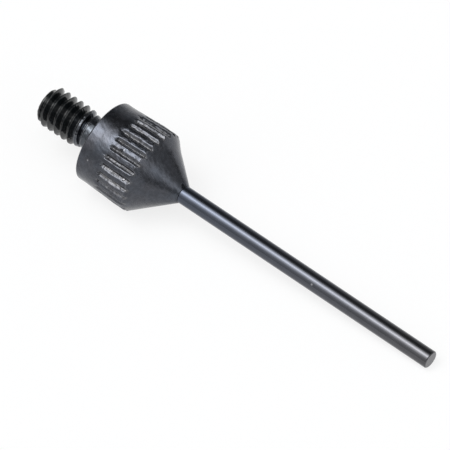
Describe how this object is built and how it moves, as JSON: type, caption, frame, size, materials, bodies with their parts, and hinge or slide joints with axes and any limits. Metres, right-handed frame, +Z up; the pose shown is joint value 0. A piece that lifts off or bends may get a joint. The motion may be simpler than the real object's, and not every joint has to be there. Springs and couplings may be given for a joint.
{
  "type": "dial indicator depth probe",
  "caption": "Long thin steel pin in a coned, straight-knurled collar with a short screw stem, for reaching down holes and slots with a dial indicator.",
  "frame": {"origin": "on the surface that the probe lies on, under the middle of its overall box", "axes": "+X from the screw stem towards the pin's tip along that surface, +Z up; the probe's own axis leans down towards the tip"},
  "size_m": [0.0312, 0.0058, 0.0061],
  "materials": {
    "black_oxide_body": "satin black oxide on turned and knurled steel, worn bright on the knurl's crests",
    "black_oxide_pin": "glossy blue-black oxide on a ground steel pin"
  },
  "bodies": {
    "root": {"knurled_body": "black_oxide_body", "probe_pin": "black_oxide_pin"}
  },
  "joints": []
}
